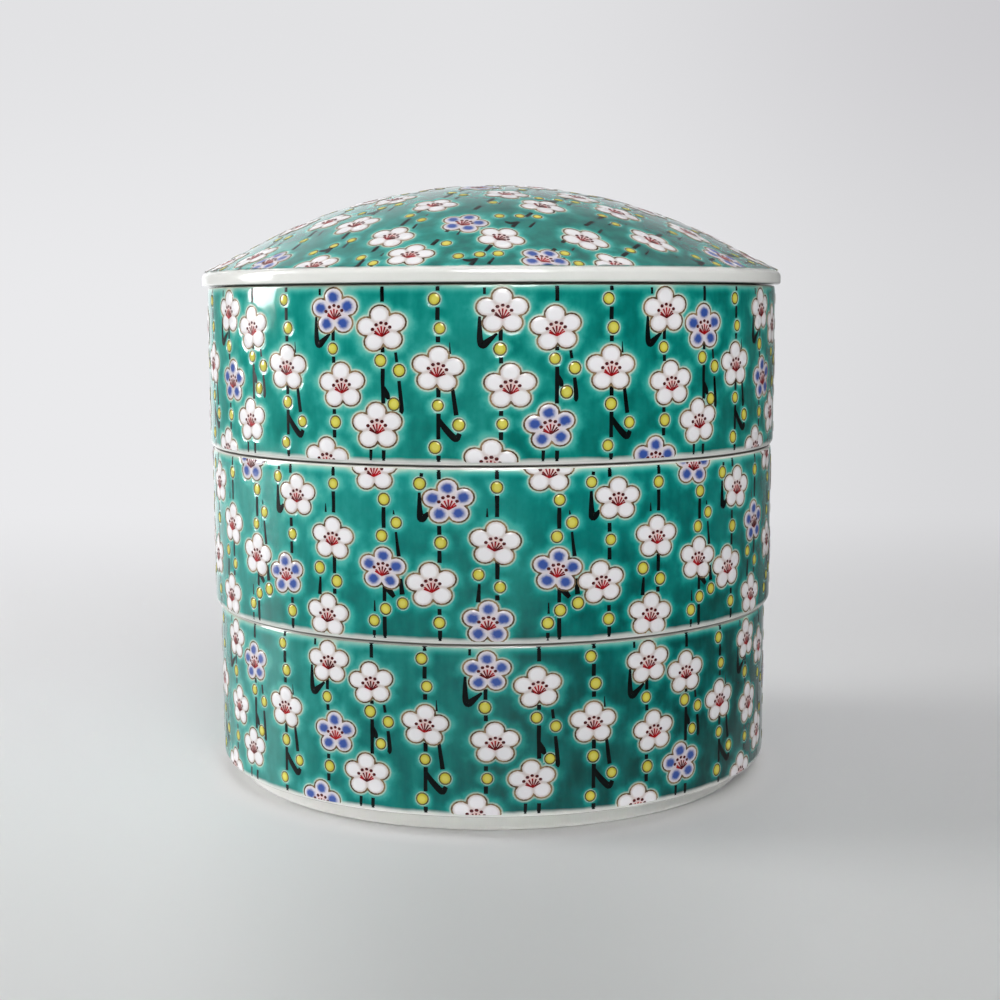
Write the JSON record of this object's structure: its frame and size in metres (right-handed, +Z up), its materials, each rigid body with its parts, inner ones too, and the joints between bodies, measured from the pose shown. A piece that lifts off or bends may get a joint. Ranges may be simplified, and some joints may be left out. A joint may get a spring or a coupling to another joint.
{
  "type": "stacking food box",
  "caption": "Round porcelain stacking food box: trays whose foot rings nest in the mouth below, under a domed lid, with a coat of green enamel outside.",
  "frame": {"origin": "centre of the circle that the bottom tier's foot ring stands on", "axes": "+Z up along the axis of the round stack; the tiers and the lid lift off along +Z"},
  "size_m": [0.164, 0.164, 0.166],
  "materials": {
    "porcelain": "gloss",
    "green_enamel": "gloss",
    "white_enamel": "gloss",
    "blue_enamel": "gloss",
    "yellow_enamel": "gloss",
    "red_enamel": "gloss",
    "brown_line": "gloss",
    "black_line": "gloss"
  },
  "bodies": {
    "bottom_tier": {"bottom_tier": "porcelain", "bottom_tier_enamel": "green_enamel"},
    "middle_tier": {"middle_tier": "porcelain", "middle_tier_enamel": "green_enamel"},
    "top_tier": {"top_tier": "porcelain", "top_tier_enamel": "green_enamel"},
    "lid": {"lid": "porcelain", "lid_enamel": "green_enamel"}
  },
  "joints": [
    {"name": "middle_tier_lift", "type": "slide", "parent": "bottom_tier", "child": "middle_tier", "axis": [0, 0, 1], "range_m": [0, 0.08]},
    {"name": "top_tier_lift", "type": "slide", "parent": "middle_tier", "child": "top_tier", "axis": [0, 0, 1], "range_m": [0, 0.08]},
    {"name": "lid_lift", "type": "slide", "parent": "top_tier", "child": "lid", "axis": [0, 0, 1], "range_m": [0, 0.08]}
  ]
}
